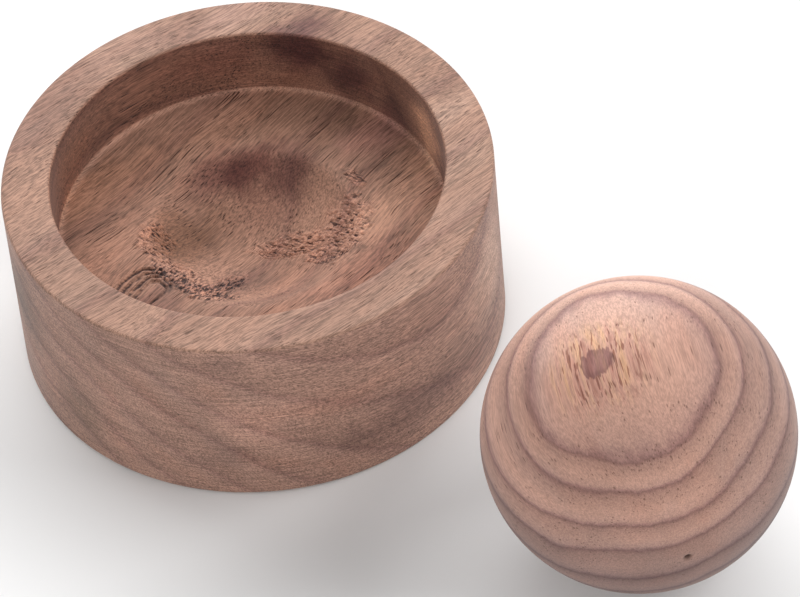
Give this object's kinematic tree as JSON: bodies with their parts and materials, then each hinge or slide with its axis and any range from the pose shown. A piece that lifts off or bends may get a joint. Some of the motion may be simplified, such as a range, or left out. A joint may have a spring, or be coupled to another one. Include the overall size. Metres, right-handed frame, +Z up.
{
  "type": "nutcracker",
  "caption": "Round wooden cup with a dished floor, and a loose wooden ball that is pressed or knocked down on a nut lying in the cup.",
  "frame": {"origin": "centre of the cup's underside, on the table", "axes": "+Z up along the cup's axis; the ball lies on the table between +X and -Y"},
  "size_m": [0.1235, 0.1235, 0.05],
  "materials": {
    "cup_wood": "matte",
    "ball_wood": "satin"
  },
  "bodies": {
    "cup": {"cup": "cup_wood"},
    "ball": {"ball": "ball_wood"}
  },
  "joints": [
    {"name": "ball_carry", "type": "hinge", "parent": "cup", "child": "ball", "pos_m": [0.02903, -0.02903, 0.0324], "axis": [-0.7071, -0.7071, 0], "range_deg": [0, 180]}
  ]
}
